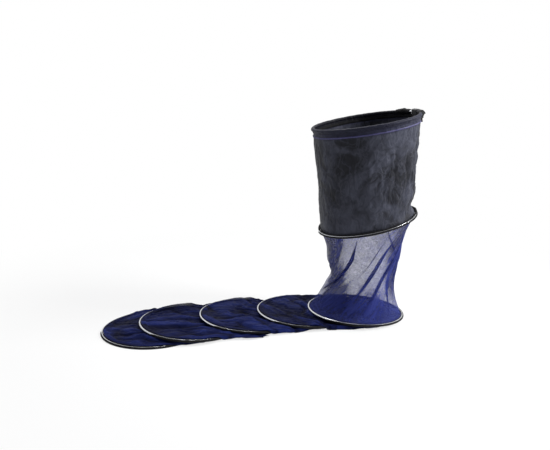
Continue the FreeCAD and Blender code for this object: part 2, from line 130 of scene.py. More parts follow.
class Shade:
    """The nodes of one material, or of the world, built up call by call."""

    def __init__(self, name: str, world: bool = False) -> None:
        """Start an empty tree with its output."""
        self.block = (bpy.data.worlds if world else bpy.data.materials).new(name)
        self.block.use_nodes = True
        self.tree = self.block.node_tree
        self.tree.nodes.clear()
        self.output = self.tree.nodes.new(f"ShaderNodeOutput{'World' if world else 'Material'}")

    def plug(self, socket: bpy.types.NodeSocket, value: object) -> None:
        """Link a signal to a socket, or set the socket's own value."""
        if isinstance(value, Signal):
            self.tree.links.new(value.socket, socket)
        elif value is not None:
            if isinstance(value, tuple) and len(value) == 3 and socket.type == "RGBA":
                value = value + (1.0,)
            socket.default_value = value

    def add(self, kind: str, settings: Mapping[str, object] | None = None,
            inputs: Mapping[str | int, object] | None = None, out: str | int = 0) -> Signal:
        """Add a node.

        Args:
            kind: the node's type.
            settings: its own settings, such as an operation.
            inputs: values or links by socket name or number.
            out: which output to return.

        Returns:
            The chosen output's signal.
        """
        node = self.tree.nodes.new(kind)
        for name, value in (settings or {}).items():
            setattr(node, name, value)
        for name, value in (inputs or {}).items():
            self.plug(node.inputs[name], value)
        return Signal(self, node.outputs[out])

    def mapped(self, source: Signal, stretch: Triple, turn: float = 0.0) -> Signal:
        """Return coordinates, turned about Z and stretched."""
        return self.add("ShaderNodeMapping", inputs={
            "Vector": source, "Scale": stretch, "Rotation": (0.0, 0.0, turn)})

    def place(self, stretch: Triple = EVEN) -> Signal:
        """Return Object coordinates, stretched."""
        return self.mapped(self.add("ShaderNodeTexCoord", out="Object"), stretch)

    def cloth_place(self, stretch: Triple = EVEN, turn: float = 0.0) -> Signal:
        """Return the cloth's own map in metres, turned and stretched."""
        return self.mapped(self.add("ShaderNodeUVMap", {"uv_map": "cloth"}), stretch, turn)

    def part(self, vector: Signal, axis: str) -> Signal:
        """Return one coordinate of a vector."""
        return self.add("ShaderNodeSeparateXYZ", inputs={"Vector": vector}, out=axis)

    def cloth_axes(self) -> tuple[Signal, Signal]:
        """Return the two coordinates of the cloth's own map."""
        place = self.cloth_place()
        return self.part(place, "X"), self.part(place, "Y")

    def seen(self) -> Signal:
        """Return 1 for rays from the camera, off a mirror or through clear cloth."""
        camera, clear, glossy = (self.add("ShaderNodeLightPath", out=f"Is {kind} Ray")
                                 for kind in ("Camera", "Transmission", "Glossy"))
        return camera.math("MAXIMUM", clear).math("MAXIMUM", glossy)

    def mark(self, name: str) -> Signal:
        """Return a mark that the piece carries from point to point."""
        return self.add("ShaderNodeAttribute", {"attribute_name": name}, out="Fac")

    def noise(self, place: Signal, scale: float, detail: float = 3.0, rough: float = 0.55,
              distortion: float = 0.0) -> Signal:
        """Return soft noise between about 0 and 1."""
        return self.add("ShaderNodeTexNoise", inputs={
            "Vector": place, "Scale": scale, "Detail": detail, "Roughness": rough,
            "Distortion": distortion})

    def tint(self, factor: Signal | float, low: Colour | Signal, high: Colour | Signal) -> Signal:
        """Return a colour between two."""
        return self.add("ShaderNodeMix", {"data_type": "RGBA"}, {0: factor, 6: low, 7: high}, out=2)

    def bump(self, height: Signal, distance: float, strength: float = 1.0,
             normal: Signal | None = None) -> Signal:
        """Return a normal raised by a height."""
        return self.add("ShaderNodeBump", inputs={
            "Height": height, "Distance": distance, "Strength": strength, "Normal": normal})

    def surface(self, **sockets: object) -> bpy.types.Material:
        """Finish with a principled surface.

        Args:
            sockets: values or signals, with the sockets' names in lower case
                and low lines for spaces.

        Returns:
            The material.
        """
        inputs = {name.replace("_", " ").title().replace("Ior", "IOR"): value
                  for name, value in sockets.items()}
        return self.show(self.add("ShaderNodeBsdfPrincipled", inputs=inputs))

    def show(self, shader: Signal) -> bpy.types.ID:
        """Make a shader the surface, and return the material or the world."""
        self.plug(self.output.inputs["Surface"], shader)
        return self.block


def scaled(colour: Colour, share: float, blue: float | None = None) -> Colour:
    """Return a darker or paler colour, with a share of its own for blue where one is given."""
    return colour[0] * share, colour[1] * share, colour[2] * (share if blue is None else blue)


# Finishes


@dataclass(frozen=True)
class DrawnTube:
    """Bright drawn tube with faint draw lines and handling marks."""

    colour: Colour = (0.62, 0.63, 0.66)
    dulled: Colour = (0.4, 0.41, 0.45)
    shine: float = 0.16

    def make(self) -> bpy.types.Material:
        """Return the tube's material."""
        s = Shade("drawn_tube")
        place = s.place()
        marks = s.noise(place, 260.0, 4.0, 0.7)
        dull = s.noise(place, 18.0).ramp(0.45, 0.75)
        return s.surface(base_color=s.tint(dull * 0.6, self.colour, self.dulled), metallic=1.0,
                         roughness=marks * 0.16 + dull * 0.1 + (self.shine - 0.05),
                         normal=s.bump(marks, 0.00006, 0.6))


@dataclass(frozen=True)
class PlainMetal:
    """A turned or plated metal piece."""

    name: str
    colour: Colour
    rough: float = 0.3

    def make(self) -> bpy.types.Material:
        """Return the metal's material."""
        s = Shade(self.name)
        lines = s.noise(s.place((1.0, 1.0, 9.0)), 420.0, 2.0)
        wear = s.noise(s.place(), 90.0).ramp(0.4, 0.8)
        return s.surface(base_color=s.tint(wear, self.colour, scaled(self.colour, 0.6)), metallic=1.0,
                         roughness=lines * 0.2 + (self.rough - 0.06),
                         normal=s.bump(lines, 0.00005, 0.5))


@dataclass(frozen=True)
class MouldedPlastic:
    """Black moulded plastic with a fine grain and rubbed patches."""

    colour: Colour = (0.012, 0.012, 0.014)
    worn: Colour = (0.04, 0.04, 0.045)

    def make(self) -> bpy.types.Material:
        """Return the plastic's material."""
        s = Shade("moulded_plastic")
        place = s.place()
        grain = s.noise(place, 1500.0, 2.0)
        rubbed = s.noise(place, 60.0, 4.0).ramp(0.5, 0.8)
        return s.surface(base_color=s.tint(rubbed, self.colour, self.worn),
                         roughness=rubbed * -0.14 + 0.5, normal=s.bump(grain, 0.00012, 0.6))


@dataclass(frozen=True)
class WovenTape:
    """Black woven tape with a twill line and a dusty edge."""

    name: str = "woven_tape"
    colour: Colour = (0.008, 0.008, 0.01)
    pitch: float = 0.0009
    dusty: Colour = (0.017, 0.017, 0.021)

    def make(self) -> bpy.types.Material:
        """Return the tape's material."""
        s = Shade(self.name)
        u, v = s.cloth_axes()
        twill = ((u + v) * (math.tau / self.pitch)).sine() * 0.5 + 0.5
        dust = s.noise(s.place(), 45.0, 4.0).ramp(0.45, 0.8)
        return s.surface(base_color=s.tint(dust, self.colour, self.dusty), roughness=dust * 0.1 + 0.7,
                         specular_ior_level=0.12, normal=s.bump(twill, 0.0002, 0.7))


@dataclass(frozen=True)
class CoatedNylon:
    """Thin black coated cloth, crumpled, with a fine check weave.

    One mark paints shade into the creases and on the hem's inner side, darker the deeper a point lies,
    and "band" tells how far it belongs to the blue-black band under the rim.
    """

    dark: Colour = (0.0145, 0.0152, 0.02)
    light: Colour = (0.046, 0.049, 0.068)
    rubbed: Colour = (0.075, 0.08, 0.11)
    # painted shade: the colour that the creases are darkened to
    crease_shade: Colour = (0.0055, 0.0055, 0.0075)
    rim: Colour = (0.016, 0.017, 0.04)
    check: float = 0.0045
    threads: float = 9.0

    def make(self) -> bpy.types.Material:
        """Return the cloth's material."""
        s = Shade("coated_nylon")
        u, v = s.cloth_axes()
        rate = math.tau / self.check
        check = (u * rate).sine().ramp(0.9, 1.0) + (v * rate).sine().ramp(0.9, 1.0)
        weave = (u * rate * self.threads).sine() * (v * rate * self.threads).sine()
        crumple = s.noise(s.cloth_place((1.0, 0.6, 1.0), 0.3), 22.0, 3.5, 0.55, 1.2)
        crease = (crumple - 0.5).size().ramp(0.0, 0.06, 1.0, 0.0)
        broad = s.noise(s.cloth_place(), 7.0, distortion=0.9)
        colour = s.tint(broad.ramp(0.36, 0.66), self.dark, self.light)
        colour = s.tint(crease * 0.24, colour, self.rubbed)
        colour = s.tint(s.mark("band") * 0.7, colour, self.rim)
        # Painted shade: darker in the creases and on the hem's inner side, by the mark that the pieces fill
        # in.
        colour = s.tint(s.mark("depth") * 0.85, colour, self.crease_shade)
        first = s.bump(crumple, 0.0042)
        second = s.bump(crease + check * 0.15 + weave * 0.05, 0.0007, 0.7, first)
        return s.surface(base_color=colour, roughness=crumple * 0.25 + 0.4,
                         specular_ior_level=0.1, normal=second)


@dataclass(frozen=True)
class FineNetting:
    """Soft knitted netting, seen through where it is one layer thick.

    One mark paints shade among the folds, darker the deeper a point lies there, "gather"
    tells how closely the cloth is drawn together there, and on the lying netting it is the
    crumples' height, which paints the ridges lighter as a painted highlight, and "thin" how far
    a single layer is spread out against the light.

    Attributes:
        name: the material's name.
        cover: share of light that one slack layer stops.
        drawn: the same where the cloth is drawn together.
        wander: how far the cover drifts along the cloth.
        deep: the threads' darker tone, whose darker copy is the painted shade in the folds.
        bright: their paler tone; on the lying netting the ridges take it as a painted highlight.
        slack: their colour in one slack layer, which lets light through.
        pitch: distance from stitch to stitch.
        least: the least light that the cloth stops anywhere.
    """

    name: str
    cover: float
    drawn: float
    wander: float
    deep: Colour
    bright: Colour
    slack: Colour
    pitch: float = 0.0016
    least: float = 0.05

    def make(self) -> bpy.types.Material:
        """Return the netting's material."""
        s = Shade(self.name)
        u, v = s.cloth_axes()
        rate = math.tau / self.pitch
        knit = ((u + v) * rate).sine() * ((u - v) * rate).sine()
        ripple = s.noise(s.cloth_place((1.0, 0.5, 1.0), 0.7), 34.0, 2.0, 0.5, 3.5)
        line = (ripple * 28.0).sine()
        grain = s.noise(s.cloth_place((1.0, 0.6, 1.0), 0.5), 140.0, 3.0, 0.6, 1.0)
        drift = s.noise(s.cloth_place((1.0, 0.4, 1.0)), 9.0, 4.0, 0.6, 0.8)
        crumple = s.noise(s.cloth_place((1.0, 0.6, 1.0), 0.4), 38.0, 4.0, 0.6, 1.0)
        gather = s.mark("gather") + drift.ramp(0.35, 0.7, -0.1, 0.1)
        cover = gather * (self.drawn - self.cover) + self.cover
        cover = cover + line * 0.7 * self.wander + (grain - 0.5) * 2.6 * self.wander
        cover = cover - s.mark("thin") * 0.55 + knit * 0.1 * (1.0 - self.cover)
        colour = s.tint(drift.ramp(0.34, 0.66), self.deep, self.bright)
        # On the lying netting the gather is the crumples' height: painted highlight, the ridges lighter.
        colour = s.tint(gather.ramp(0.05, 0.75), self.slack, colour)
        # Painted shade: darker among the folds.
        colour = s.tint(s.mark("depth"), colour, scaled(self.deep, 0.3, 0.36))
        return s.surface(base_color=colour, roughness=crumple * 0.2 + 0.5, specular_ior_level=0.04,
                         alpha=cover.math("MINIMUM", 1.0).math("MAXIMUM", self.least),
                         normal=s.bump(knit, 0.0002, 0.5, s.bump(crumple, 0.003, 0.9)))


@dataclass(frozen=True)
class SewingThread:
    """Twisted thread."""

    name: str
    colour: Colour

    def make(self) -> bpy.types.Material:
        """Return the thread's material."""
        s = Shade(self.name)
        twist = s.noise(s.place((1.0, 1.0, 3.0)), 900.0, 2.0)
        colour = s.tint(twist.ramp(0.4, 0.7), self.colour, scaled(self.colour, 1.8))
        return s.surface(base_color=colour, roughness=0.6, normal=s.bump(twist, 0.0002, 0.8))


# Places of the hoops


@dataclass(frozen=True)
class HoopPlace:
    """Where one hoop lies.

    Attributes:
        centre: the centre of its tube's round.
        fall: how far its plane drops for each metre towards +X.
        radius: radius of the tube's centre line.
        tube: the tube's own radius.
    """

    centre: Triple
    fall: float
    radius: float = 0.2
    tube: float = 0.004

    @property
    def middle(self) -> np.ndarray:
        """Return the centre as an array."""
        return np.array(self.centre)

    @property
    def out(self) -> np.ndarray:
        """Return the direction in the hoop's plane that points to +X."""
        b = math.atan(self.fall)
        return np.array([math.cos(b), 0.0, -math.sin(b)])

    @property
    def up(self) -> np.ndarray:
        """Return the plane's normal."""
        b = math.atan(self.fall)
        return np.array([math.sin(b), 0.0, math.cos(b)])

    def plane_height(self, x: np.ndarray) -> np.ndarray:
        """Return the height of the hoop's plane at a world x."""
        return self.centre[2] - self.fall * (x - self.centre[0])

    def at(self, ring: np.ndarray, angle: np.ndarray, lift: np.ndarray) -> np.ndarray:
        """Return points by distance from the centre, angle and height on the normal."""
        ring, angle, lift = np.broadcast_arrays(ring, angle, lift)
        flat = self.out * (ring * np.cos(angle))[..., None]
        side = np.array([0.0, 1.0, 0.0]) * (ring * np.sin(angle))[..., None]
        return self.middle + flat + side + self.up * lift[..., None]

    def pushed_off(self, points: np.ndarray, clear: float) -> np.ndarray:
        """Return points moved out of the tube's round to a clear distance."""
        local = points - self.middle
        x, y, z = local @ self.out, local[..., 1], local @ self.up
        ring = np.maximum(np.hypot(x, y), 1e-6)
        gap = ring - self.radius
        reach = np.maximum(np.hypot(gap, z), 1e-6)
        grow = np.where(reach < clear, clear / reach, 1.0)
        wide = (self.radius + gap * grow) / ring
        move = (wide - 1.0)[..., None] * (self.out * x[..., None])
        move[..., 1] += (wide - 1.0) * y
        return points + move + self.up * (z * (grow - 1.0))[..., None]


HOOPS = {
    1: HoopPlace((0.41064, -0.0404, 0.82348), -0.1620, 0.213, 0.005),
    2: HoopPlace((0.43114, -0.0284, 0.41748), -0.2189),
    3: HoopPlace((0.40714, 0.0206, 0.01748), 0.0674),
    4: HoopPlace((0.19214, 0.0556, 0.01638), 0.0619),
    5: HoopPlace((-0.05386, 0.0546, 0.01696), 0.0648),
    6: HoopPlace((-0.30186, 0.0216, 0.01714), 0.0657),
    7: HoopPlace((-0.44986, 0.0216, 0.004), 0.0),
}


# Cloth


class SoftNoise:
    """Seeded smooth noise on a plane or round a tube."""

    def __init__(self, seed: int, cells: int = 256) -> None:
        """Draw the lattice of slopes."""
        self.cells = cells
        self.turns = np.random.default_rng(seed).uniform(0, math.tau, (cells, cells))

    def __call__(self, x: np.ndarray, y: np.ndarray, period: int | None = None) -> np.ndarray:
        """Return noise between about -1 and 1, with one cell per unit.

        Args:
            x: first coordinate, repeated after period cells.
            y: second coordinate.
            period: cells round a closed tube, or None on an open sheet.

        Returns:
            The noise at each place.
        """
        period = period or self.cells
        i, j = np.floor(x).astype(int), np.floor(y).astype(int)
        fx, fy = x - i, y - j

        def corner(di: int, dj: int) -> np.ndarray:
            turn = self.turns[(j + dj) % self.cells, (i + di) % period]
            return np.cos(turn) * (fx - di) + np.sin(turn) * (fy - dj)

        sx, sy = fx * fx * (3 - 2 * fx), fy * fy * (3 - 2 * fy)
        low = corner(0, 0) * (1 - sx) + corner(1, 0) * sx
        high = corner(0, 1) * (1 - sx) + corner(1, 1) * sx
        return 1.5 * (low * (1 - sy) + high * sy)


def eased(t: np.ndarray | float, low: float = 0.0, high: float = 1.0) -> np.ndarray:
    """Return an eased 0 to 1 step between low and high."""
    t = np.clip((np.asarray(t) - low) / (high - low), 0.0, 1.0)
    return t * t * (3 - 2 * t)


def away_from(degrees: np.ndarray, middle: float) -> np.ndarray:
    """Return how far directions lie from a middle one, from -180 to 180 degrees."""
    return (degrees - middle + 180.0) % 360.0 - 180.0


def column(low: HoopPlace, high: HoopPlace, ends: tuple[np.ndarray, np.ndarray], v: np.ndarray,
           angle: np.ndarray, ring: np.ndarray) -> np.ndarray:
    """Return points round the line between two hoops, one above the other.

    Args:
        low: the lower hoop.
        high: the upper hoop.
        ends: where the line starts and ends.
        v: each point's share of the way up.
        angle: its direction round the line.
        ring: its distance from the line.

    Returns:
        The points.
    """
    out = low.out * (1 - v)[:, None] + high.out * v[:, None]
    out /= np.linalg.norm(out, axis=1)[:, None]
    middle = ends[0] * (1 - v)[:, None] + ends[1] * v[:, None]
    points = middle + out * (ring * np.cos(angle))[:, None]
    points[:, 1] += ring * np.sin(angle)
    return points


def added(name: str, data: bpy.types.ID) -> bpy.types.Object:
    """Return a new object in the scene."""
    piece = bpy.data.objects.new(name, data)
    bpy.context.scene.collection.objects.link(piece)
    return piece


def flat_piece(name: str, cells: tuple[int, int], half: float) -> bpy.types.Object:
    """Return a new square grid of faces, by half its width."""
    bm = bmesh.new()
    bmesh.ops.create_grid(bm, x_segments=cells[0], y_segments=cells[1], size=half)
    mesh = bpy.data.meshes.new(name)
    bm.to_mesh(mesh)
    bm.free()
    return added(name, mesh)


class ClothGrid:
    """A grid of cloth that a law bends into its place."""

    MERGED = 0.00002

    def __init__(self, name: str, cells: tuple[int, int], flat: tuple[float, float]) -> None:
        """Cut the flat grid and give it its own map in metres.

        Args:
            name: the piece's name.
            cells: faces across the cloth's width and along its length.
            flat: the size that it was cut to.
        """
        self.piece = flat_piece(name, cells, 0.5)
        self.mesh = self.piece.data
        places = np.empty(len(self.mesh.vertices) * 3)
        self.mesh.vertices.foreach_get("co", places)
        self.u, self.v = places[0::3] + 0.5, places[1::3] + 0.5
        corners = np.empty(len(self.mesh.loops), dtype=np.int32)
        self.mesh.loops.foreach_get("vertex_index", corners)
        spots = np.stack([self.u[corners] * flat[0], self.v[corners] * flat[1]], 1)
        self.mesh.uv_layers.new(name="cloth").data.foreach_set("uv", spots.ravel())

    def mark(self, name: str, shares: np.ndarray) -> None:
        """Let every point carry a share from 0 to 1 for its finish."""
        layer = self.mesh.attributes.new(name, "FLOAT", "POINT")
        layer.data.foreach_set("value", np.clip(shares, 0.0, 1.0).astype(np.float32))

    def bend(self, law: Law) -> None:
        """Move every point to where the law puts its share across and along."""
        self.mesh.vertices.foreach_set("co", law(self.u, self.v).ravel())
        self.mesh.update()

    def sew(self, material: bpy.types.Material, wall: float) -> bpy.types.Object:
        """Close the seam, shade the cloth and return the piece."""
        bm = bmesh.new()
        bm.from_mesh(self.mesh)
        bmesh.ops.remove_doubles(bm, verts=bm.verts, dist=self.MERGED)
        if wall:
            bmesh.ops.solidify(bm, geom=bm.faces[:], thickness=wall)
        for face in bm.faces:
            face.smooth = True
        bm.to_mesh(self.mesh)
        bm.free()
        self.mesh.materials.append(material)
        return self.piece


def sewn(name: str, cells: tuple[int, int], flat: tuple[float, float], law: Law,
         material: bpy.types.Material, wall: float = 0.0, flip: bool = False,
         marks: Marks | None = None) -> bpy.types.Object:
    """Return a piece of cloth, cut, bent into its place and sewn.

    Args:
        name: the piece's name.
        cells: faces across the cloth's width and along its length.
        flat: the size that it was cut to.
        law: where it lies.
        material: its finish.
        wall: its thickness, or 0 for a thin sheet.
        flip: whether its faces are turned over.
        marks: what its points carry for the finish, which the law fills in.

    Returns:
        The finished piece.
    """
    grid = ClothGrid(name, cells, flat)
    grid.bend(law)
    for mark, shares in (marks or {}).items():
        grid.mark(mark, shares)
    if flip:
        grid.mesh.flip_normals()
    return grid.sew(material, wall)


def carried(piece: bpy.types.Object, body: str, replaced: str = "") -> bpy.types.Object:
    """Let a piece ride on a body in a CAD node's place, if it has one, and return it."""
    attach(piece, body)
    if replaced:
        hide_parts(replaced)
    return piece


def bent_upright(piece: bpy.types.Object) -> None:
    """Bake a piece's place into its points."""
    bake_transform(piece)


@dataclass
class LyingNetting:
    """The slack tube of netting between two lying hoops.

    Attributes:
        low: number of the lower hoop, to the left.
        high: number of the upper hoop, to the right.
        seed: seed of its crumples.
        front: how far the slack cloth lies outside the hoops at the front.
        back: the same at the back.
        crumple: height of the folds.
        pleat: height of the fine pleats beside the hoops.
        pleats: how many there are all round.
        clear: distance kept from the tubes.
        bending: half the length over which it would pass from body to body; it is not used.
        slant: which way the long folds run, in degrees from the fan's own line.
        least: the lowest that the upper wall may lie.
        puff: how far the upper wall stands up along its back edge.
        thin: how far that edge is spread out against the light.
        early: under 1, the cloth lies furthest outside nearer to the lower hoop,
            and over 1 nearer to the upper one.
    """

    low: int
    high: int
    seed: int
    front: float = 0.012
    back: float = 0.006
    cells: tuple[int, int] = (420, 116)
    inset: float = 0.0054
    rise: float = 0.0016
    crest: float = 0.0056
    half_width: float = 0.0045
    foot: float = 0.0095
    lead: float = 0.025
    spacing: float = 0.0012
    sag: float = 0.004
    ground: float = 0.0012
    layer_step: float = 0.0032
    crumple: float = 0.0115
    pleat: float = 0.0011
    pleats: int = 96
    clear: float = 0.0013
    bending: float = 0.03
    cut_length: float = 0.36
    slant: float = -40.0
    least: float = 0.0006
    puff: float = 0.0
    thin: float = 0.0
    early: float = 0.7
    marks: Marks = field(default_factory=dict, init=False)

    def cover(self, offset: np.ndarray) -> np.ndarray:
        """Return how far the cloth stays off a hoop's plane near its tube."""
        rising = self.rise + (self.crest - self.rise) * (offset + self.inset) / (
            self.inset - self.half_width)
        falling = self.crest - (self.crest + self.rise) * (offset - self.half_width) / (
            self.foot - self.half_width)
        kept = np.where(offset < -self.half_width, rising,
                        np.where(offset < self.half_width, self.crest, falling))
        far_below = -0.06
        return np.where((offset < -self.inset) | (offset > self.foot), far_below, kept)

    def place(self, u: np.ndarray, v: np.ndarray) -> np.ndarray:
        """Return the cloth's points for shares round and along the tube."""
        low, high = HOOPS[self.low], HOOPS[self.high]
        step = (high.middle - low.middle)[:2]
        gap = float(np.hypot(*step))
        ahead = step / gap
        side = np.array([-ahead[1], ahead[0]])
        angle = math.tau * u
        inner = low.radius - self.inset
        share = eased(0.5 - 2 * np.cos(angle))
        t, layer = self.folded(v, share, gap)
        bulge = np.where(np.sin(angle) < 0, self.front, self.back) * np.abs(np.sin(angle)) ** 3
        fullest = np.sin(math.pi * np.clip(v, 0.0, 1.0) ** self.early) ** 1.5
        q = inner * np.sin(angle) + bulge * np.sign(np.sin(angle)) * fullest
        p = inner * np.cos(angle) + gap * t
        x = low.centre[0] + ahead[0] * p + side[0] * q
        y = low.centre[1] + ahead[1] * p + side[1] * q
        z = self.heights(u, v, t, share, x, y, q, gap, layer)
        return self.crumpled(np.stack([x, y, z], -1), u, v, share, p, q)

    def heights(self, u: np.ndarray, v: np.ndarray, t: np.ndarray, share: np.ndarray,
                x: np.ndarray, y: np.ndarray, q: np.ndarray, gap: float,
                layer: np.ndarray) -> np.ndarray:
        """Return the height of the smooth cloth at each point."""
        low, high = HOOPS[self.low], HOOPS[self.high]
        low_plane, high_plane = low.plane_height(x), high.plane_height(x)
        start_x = low.centre[0] + (low.radius - self.inset) * np.cos(math.tau * u)
        start = low.plane_height(start_x) + self.rise
        drape = start + (high_plane - self.crest - start) * np.minimum(t, 1.0)
        drape -= self.sag * np.sin(math.pi * np.clip(t, 0, 1))
        under = self.layer_step * (2 - layer) * eased(t, 0.8, 1.0)
        drape -= under * eased(share, 0.6, 1.0)
        piled = self.layer_step * layer * (1 - eased(t, 0.86, 1.0))
        z = share * drape + (1 - share) * (self.ground + piled)
        low_off, high_off = (np.hypot(x - hoop.centre[0], y - hoop.centre[1]) - hoop.radius
                             for hoop in (low, high))
        reach = np.sqrt(np.maximum((low.radius + self.foot) ** 2 - q ** 2, 0.0))
        crossing = (2 * reach > gap) & (low_off > -self.half_width) & (high_off > -self.half_width)
        raised = (share > 0.5) | crossing
        lead = np.where(share > 0.5, self.lead, self.half_width)
        z = np.where(raised & (low_off > -lead),
                     np.maximum(z, low_plane + self.crest + self.spacing * share), z)
        z = np.maximum(z, low_plane + self.cover(low_off) + self.spacing * share)
        z = np.minimum(z, high_plane - self.cover(high_off) - self.spacing * (1 - share))
        ended = eased(v, 0.97, 1.0) * (layer > 0.9)
        z = z * (1 - ended) + (high_plane - self.rise) * ended
        return np.maximum(z, self.ground)

    def folded(self, v: np.ndarray, share: np.ndarray, gap: float) -> tuple[np.ndarray, np.ndarray]:
        """Return how far each point lies along the way between the hoops, and its layer.

        The cloth is longer than the way, so it doubles back on itself: on the
        upper wall past the upper hoop's edge, on the lower wall half way.

        Args:
            v: share along the cloth.
            share: 1 on the upper wall, 0 on the lower one.
            gap: the way between the hoops.

        Returns:
            The share of the way, and the layer from 0 to 2.
        """
        slack = (self.cut_length / gap - 1) / 2
        over = slack * eased(share, 0.6, 1.0)
        half = slack * eased(share, 0.4, 0.0)
        half_way = (1 + half) / 2
        first = np.where(half > 0, half_way + (1 - half / slack) * (1 - half_way), 1 + over)
        back = over + half
        last = np.maximum(1 - first + back, 0.0)
        way = v * (first + back + last)
        t = np.where(way < first, way, np.where(way < first + back, 2 * first - way, way - 2 * back))
        soft = np.maximum(0.25 * back, 1e-4)
        layer = eased(way, first - soft, first + soft) + eased(way, first + back - soft, first + back + soft)
        return t, np.where(back > 0.002, layer, 0.0)

    def crumpled(self, points: np.ndarray, u: np.ndarray, v: np.ndarray, share: np.ndarray,
                 p: np.ndarray, q: np.ndarray) -> np.ndarray:
        """Return the points with folds and creases, clear of the tubes and the floor."""
        noise = SoftNoise(self.seed)
        a = math.radians(self.slant)
        along, across = p * math.cos(a) + q * math.sin(a), q * math.cos(a) - p * math.sin(a)
        warp = noise(p / 0.12, q / 0.12 + 3)
        bend = noise(p / 0.05 + 17, q / 0.05 + 9)
        sweep = noise(along / 0.3 + 0.3 * warp, across / 0.085 + 0.7 * warp)
        valley = np.abs(noise(along / 0.26 + 7, across / 0.075 + 0.8 * warp + 0.12 * bend + 5))
        small = np.abs(noise(along / 0.12 + 31 + 0.3 * bend, across / 0.036 + 0.4 * bend + 13))
        fine = np.abs(noise(p / 0.03 + 21 + bend, q / 0.02 + 11))
        lift = 0.8 * sweep + 1.7 * np.minimum(valley, 0.45) - 0.68 * small - 0.36 * fine - 0.2
        # Painted shade: the valleys and the fold lines are darkened. The gather holds the ridges' height,
        # which paints them lighter as a painted highlight.
        self.marks["depth"] = 0.7 * eased(-lift, -0.1, 0.55) + 0.75 * eased(0.12 - valley, 0.0, 0.12)
        self.marks["gather"] = eased(lift, -0.15, 0.6)
        calm = np.sin(math.pi * np.clip(v, 0, 1)) ** 0.6
        turned = (np.degrees(math.tau * u) - 90.0) / 38.0
        stands = np.exp(-((v - 0.14) / 0.2) ** 2) * (1 - np.exp(-v / 0.02))
        self.marks["thin"] = self.thin * np.exp(-(1.5 * turned) ** 2 - ((v - 0.1) / 0.22) ** 2)
        move = self.crumple * lift * calm + self.puff * np.exp(-turned ** 2) * stands
        edge = np.exp(-v / 0.05) + np.exp(-(1 - v) / 0.05)
        pleats = self.pleat * np.sin(math.tau * self.pleats * u + 2.5 * warp) * edge
        pleats *= 1 - np.exp(-v / 0.01)
        points[:, 2] += np.where(share > 0.5, move, np.maximum(move * 0.6, -0.001)) + pleats * share
        for hoop in (HOOPS[self.low], HOOPS[self.high]):
            points = hoop.pushed_off(points, hoop.tube + self.clear)
        points[:, 2] = np.maximum(points[:, 2], np.where(share > 0.5, self.least, 0.0006))
        return points

    def build(self, material: bpy.types.Material) -> bpy.types.Object:
        """Return the netting in place of its CAD node."""
        low, high = HOOPS[self.low], HOOPS[self.high]
        flat = (math.tau * (low.radius - self.inset), self.cut_length)
        piece = sewn(f"netting_{self.high}", self.cells, flat, self.place, material, marks=self.marks)
        middle, ahead = (low.middle + high.middle) / 2, high.middle - low.middle
        ahead = ahead / np.linalg.norm(ahead) * self.bending
        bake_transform(piece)
        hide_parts(f"lying_net_{self.high}")
        return piece


@dataclass(frozen=True)
class LongFold:
    """One fold of the standing netting that runs up from hoop to hoop.

    Attributes:
        bottom: where it would start round the lower hoop, in degrees.
        cloth: width of cloth that it takes in at its widest.
        height: share of the way up where it is widest.
        reach: how far up and down from there it fades.
        lean: how far it drifts round on its way up, in degrees.
    """

    bottom: float
    cloth: float
    height: float = 0.5
    reach: float = 0.4
    lean: float = 0.0


@dataclass(frozen=True)
class Patch:
    """A patch round an upright tube of cloth, by direction and height.

    Attributes:
        angle: its middle's direction, in degrees.
        height: its middle's share of the way up.
        wide: how far round it reaches, in degrees.
        tall: how far up and down it reaches.
        much: its strength.
    """

    angle: float
    height: float
    wide: float
    tall: float
    much: float

    def weight(self, degrees: np.ndarray, v: np.ndarray) -> np.ndarray:
        """Return the patch's strength at each place."""
        away = away_from(degrees, self.angle) / self.wide
        return self.much * np.exp(-away ** 2 - ((v - self.height) / self.tall) ** 2)


